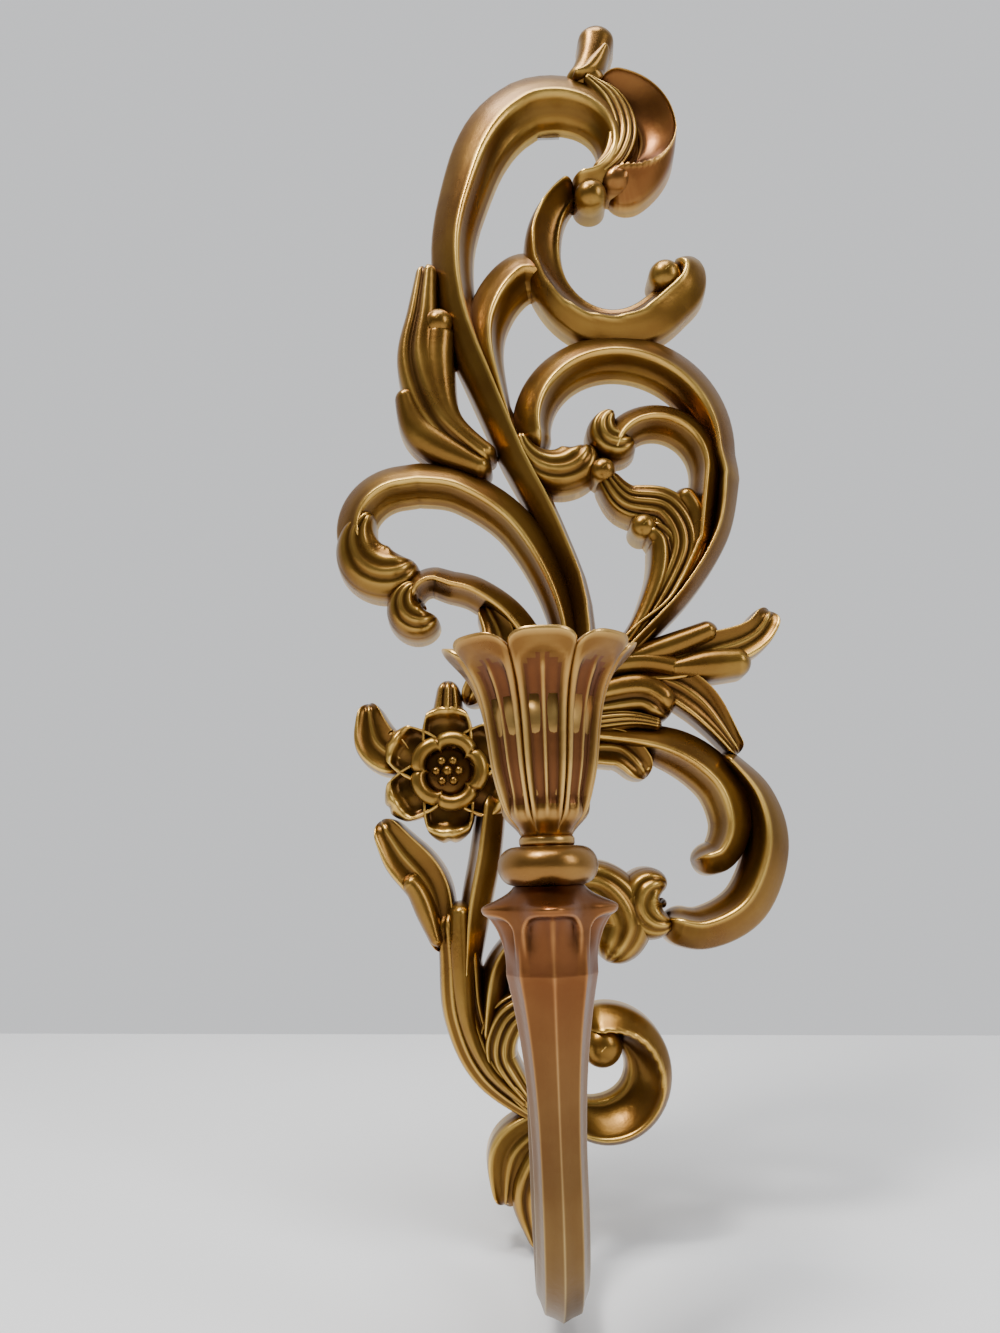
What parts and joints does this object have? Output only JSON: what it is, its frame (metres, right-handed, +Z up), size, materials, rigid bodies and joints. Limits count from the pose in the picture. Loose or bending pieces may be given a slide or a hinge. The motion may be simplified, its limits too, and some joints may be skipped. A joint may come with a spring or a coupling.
{
  "type": "wall sconce candle holder",
  "caption": "Gold scrollwork wall sconce with a curved arm that carries a petalled cup for a taper candle.",
  "frame": {"origin": "centre of the hanger hole at the wall", "axes": "+Z up, +Y into the wall, +X to the right seen from the front"},
  "size_m": [0.2004, 0.16, 0.5773],
  "materials": {
    "gold": "antique gold, brown in the recesses",
    "steel": "plain"
  },
  "bodies": {
    "backplate": {"main_stem": "gold", "upper_scroll": "gold", "finial": "gold", "small_scroll": "gold", "side_leaf": "gold", "upper_left_leaf": "gold", "inner_left_leaf": "gold", "lower_left_leaf": "gold", "trunk": "gold", "left_scroll": "gold", "lower_left_scroll": "gold", "drop_leaf": "gold", "right_scroll": "gold", "inner_scroll": "gold", "acanthus_leaf": "gold", "leaf_fan": "gold", "leaf_spray": "gold", "lower_trunk": "gold", "hook_ribbon": "gold", "small_leaf": "gold", "lower_right_scroll": "gold", "center_leaf": "gold", "rose": "gold", "rose_leaves": "gold", "flower_stem": "gold", "stem_leaf": "gold", "lower_stem": "gold", "inner_ribbon": "gold", "left_curl": "gold", "bottom_scroll": "gold", "bottom_leaf": "gold", "arm_boss": "gold", "candle_arm": "gold", "arm_bolt": "steel", "arm_washer": "steel", "drip_ring": "gold", "cup_collar": "gold", "cup_stud": "steel", "stud_nut": "steel", "hanger_plate": "steel", "hanger_nails": "steel"},
    "cup": {"candle_cup": "gold"},
    "liner": {"cup_liner": "steel"}
  },
  "joints": [
    {"name": "cup_turn", "type": "hinge", "parent": "backplate", "child": "cup", "pos_m": [-0.014, -0.128, -0.367], "axis": [0, 0, 1], "continuous": true},
    {"name": "liner_lift", "type": "slide", "parent": "cup", "child": "liner", "axis": [0, 0, 1], "range_m": [0, 0.035]}
  ]
}
